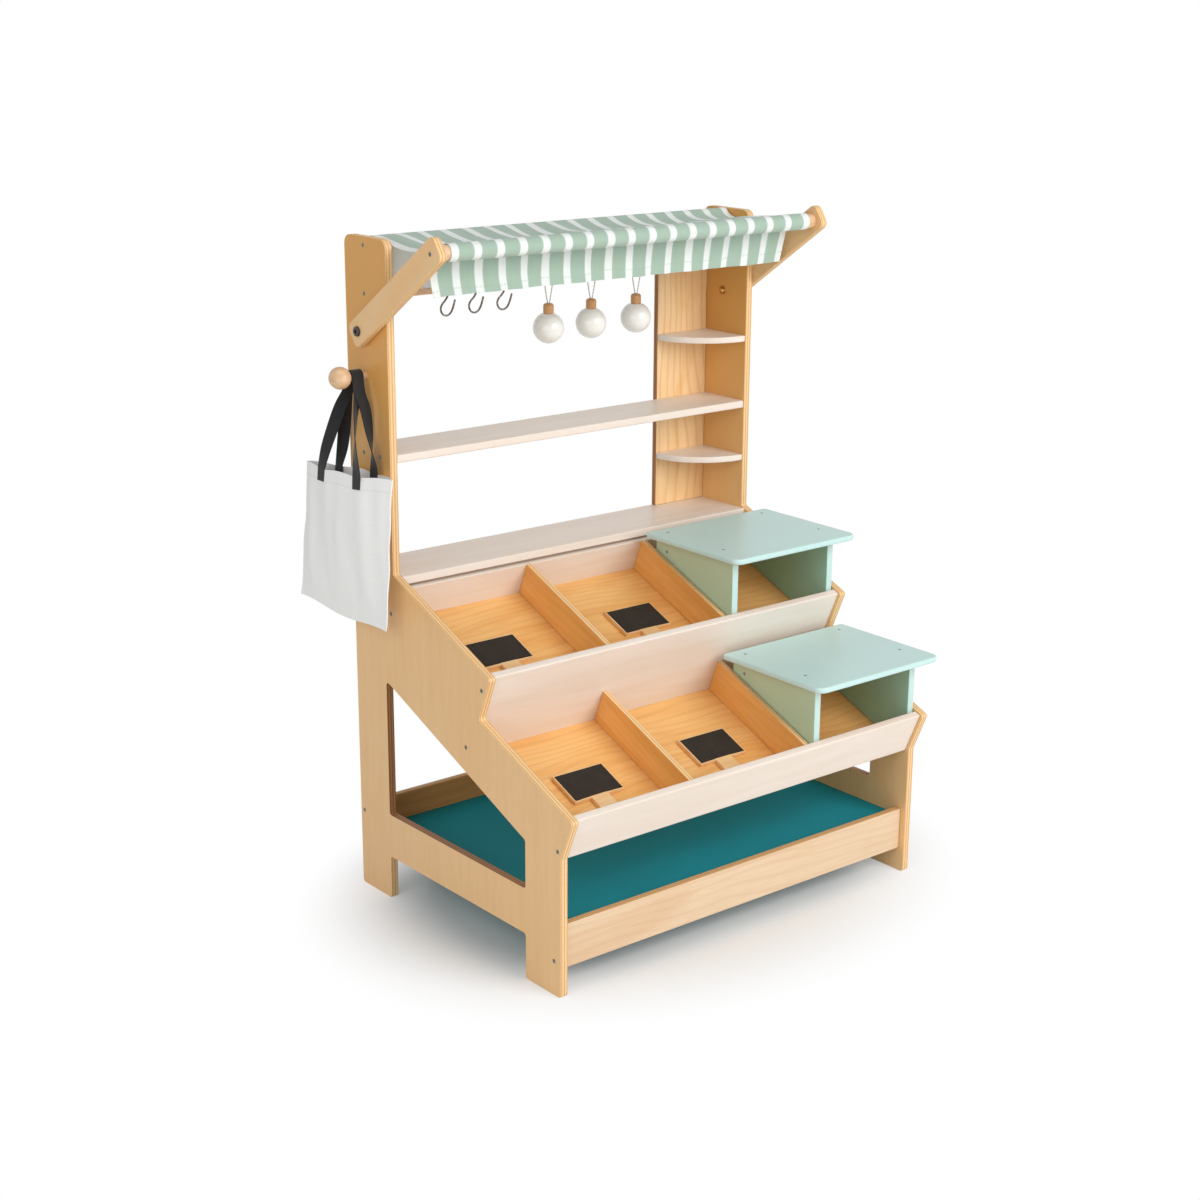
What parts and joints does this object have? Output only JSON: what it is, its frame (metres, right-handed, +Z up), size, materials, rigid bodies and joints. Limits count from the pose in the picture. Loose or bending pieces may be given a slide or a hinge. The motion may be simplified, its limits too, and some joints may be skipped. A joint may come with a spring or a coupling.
{
  "type": "toy market stall",
  "caption": "Plywood play market stall with sloping divided trays, shelves, a folding striped awning, lift-out display boxes and price signs, hanging lamps and a shopping bag on a peg.",
  "frame": {"origin": "on the floor, midway between the side panels and midway along their feet", "axes": "+Z up, +X to the customer's right as they face the stall, +Y from the customer to the back"},
  "size_m": [0.7648, 0.6231, 1.0072],
  "materials": {
    "birch_ply": "clear lacquered birch plywood with bare laminated edges",
    "pale_ply": "birch plywood with a pale washed lacquer",
    "apron_ply": "clear lacquered birch plywood",
    "honey_ply": "warm lacquered plywood with an open grain",
    "teal_paint": "satin teal paint on board",
    "aqua_paint": "satin aqua paint on board",
    "dowel_wood": "clear lacquered hardwood dowel",
    "cap_wood": "clear lacquered hardwood",
    "white_paint": "satin white paint on turned wood",
    "lamp_cord": "fine twisted cotton cord",
    "chalkboard": "matt chalkboard paint on plywood",
    "steel": "blackened or plated steel",
    "striped_cloth": "plain woven cotton with sage and white stripes",
    "canvas": "unbleached white cotton canvas",
    "strap_webbing": "black cotton webbing"
  },
  "bodies": {
    "frame": {"left_side_panel": "birch_ply", "right_side_panel": "birch_ply", "ledge_board": "pale_ply", "upper_back_board": "pale_ply", "upper_tray_floor": "honey_ply", "mid_board": "pale_ply", "lower_tray_floor": "honey_ply", "lower_front_board": "pale_ply", "upper_divider_left": "honey_ply", "upper_divider_right": "honey_ply", "lower_divider_left": "honey_ply", "lower_divider_right": "honey_ply", "front_apron": "apron_ply", "rear_apron": "apron_ply", "base_shelf": "teal_paint", "long_shelf": "pale_ply", "column_back": "birch_ply", "upper_corner_shelf": "pale_ply", "lower_corner_shelf": "pale_ply", "awning_rear_dowel": "dowel_wood", "hanging_rail": "dowel_wood", "bag_peg": "dowel_wood", "bag_peg_knob": "dowel_wood", "panel_screws": "steel", "arm_pivot_bolts": "steel", "arm_nuts": "steel"},
    "awning": {"left_awning_arm": "birch_ply", "right_awning_arm": "birch_ply", "awning_front_dowel": "dowel_wood", "arm_screws": "steel", "awning_canopy": "striped_cloth"},
    "valance": {"awning_valance": "striped_cloth"},
    "upper_box": {"upper_box_top": "aqua_paint", "upper_box_left_side": "aqua_paint", "upper_box_right_side": "aqua_paint", "upper_box_rear_rail": "aqua_paint"},
    "lower_box": {"lower_box_top": "aqua_paint", "lower_box_left_side": "aqua_paint", "lower_box_right_side": "aqua_paint", "lower_box_rear_rail": "aqua_paint"},
    "upper_left_sign_plate": {"upper_left_sign": "chalkboard"},
    "upper_middle_sign_plate": {"upper_middle_sign": "chalkboard"},
    "lower_left_sign_plate": {"lower_left_sign": "chalkboard"},
    "lower_middle_sign_plate": {"lower_middle_sign": "chalkboard"},
    "left_hook": {"hook_left": "steel"},
    "left_lamp": {"lamp_ball_left": "white_paint", "lamp_cap_left": "cap_wood", "lamp_cord_left": "lamp_cord"},
    "middle_hook": {"hook_middle": "steel"},
    "middle_lamp": {"lamp_ball_middle": "white_paint", "lamp_cap_middle": "cap_wood", "lamp_cord_middle": "lamp_cord"},
    "right_hook": {"hook_right": "steel"},
    "right_lamp": {"lamp_ball_right": "white_paint", "lamp_cap_right": "cap_wood", "lamp_cord_right": "lamp_cord"},
    "shopping_bag": {"bag": "canvas", "bag_outer_strap": "strap_webbing", "bag_inner_strap": "strap_webbing"}
  },
  "joints": [
    {"name": "awning_fold", "type": "hinge", "parent": "frame", "child": "awning", "pos_m": [0, 0.19951, 0.859], "axis": [-1, 0, 0], "range_deg": [-2, 36], "deforming": ["awning_canopy"]},
    {"name": "valance_hang", "type": "hinge", "parent": "awning", "child": "valance", "pos_m": [0, 0.05956, 0.9775], "axis": [-1, 0, 0], "range_deg": [-36, 2]},
    {"name": "upper_box_lift", "type": "slide", "parent": "frame", "child": "upper_box", "axis": [0, -0.3827, 0.9239], "range_m": [0, 0.2]},
    {"name": "lower_box_lift", "type": "slide", "parent": "frame", "child": "lower_box", "axis": [0, -0.3827, 0.9239], "range_m": [0, 0.2]},
    {"name": "upper_left_sign_lift", "type": "slide", "parent": "frame", "child": "upper_left_sign_plate", "axis": [0, -0.3827, 0.9239], "range_m": [0, 0.15]},
    {"name": "upper_middle_sign_lift", "type": "slide", "parent": "frame", "child": "upper_middle_sign_plate", "axis": [0, -0.3827, 0.9239], "range_m": [0, 0.15]},
    {"name": "lower_left_sign_lift", "type": "slide", "parent": "frame", "child": "lower_left_sign_plate", "axis": [0, -0.3827, 0.9239], "range_m": [0, 0.15]},
    {"name": "lower_middle_sign_lift", "type": "slide", "parent": "frame", "child": "lower_middle_sign_plate", "axis": [0, -0.3827, 0.9239], "range_m": [0, 0.15]},
    {"name": "left_hook_swing", "type": "hinge", "parent": "frame", "child": "left_hook", "pos_m": [-0.209, 0.19951, 0.911], "axis": [1, 0, 0], "range_deg": [-20, 20]},
    {"name": "middle_hook_swing", "type": "hinge", "parent": "frame", "child": "middle_hook", "pos_m": [-0.159, 0.19951, 0.911], "axis": [1, 0, 0], "range_deg": [-20, 20]},
    {"name": "right_hook_swing", "type": "hinge", "parent": "frame", "child": "right_hook", "pos_m": [-0.108, 0.19951, 0.911], "axis": [1, 0, 0], "range_deg": [-20, 20]},
    {"name": "left_lamp_swing", "type": "hinge", "parent": "frame", "child": "left_lamp", "pos_m": [-0.02, 0.19951, 0.911], "axis": [1, 0, 0], "range_deg": [-25, 25]},
    {"name": "middle_lamp_swing", "type": "hinge", "parent": "frame", "child": "middle_lamp", "pos_m": [0.062, 0.19951, 0.911], "axis": [1, 0, 0], "range_deg": [-25, 25]},
    {"name": "right_lamp_swing", "type": "hinge", "parent": "frame", "child": "right_lamp", "pos_m": [0.151, 0.19951, 0.911], "axis": [1, 0, 0], "range_deg": [-25, 25]},
    {"name": "bag_swing", "type": "hinge", "parent": "frame", "child": "shopping_bag", "pos_m": [-0.364, 0.20051, 0.796], "axis": [1, 0, 0], "range_deg": [-20, 20]}
  ],
  "couplings": [
    {"joint": "valance_hang", "follows": "awning_fold", "ratio": -1}
  ]
}
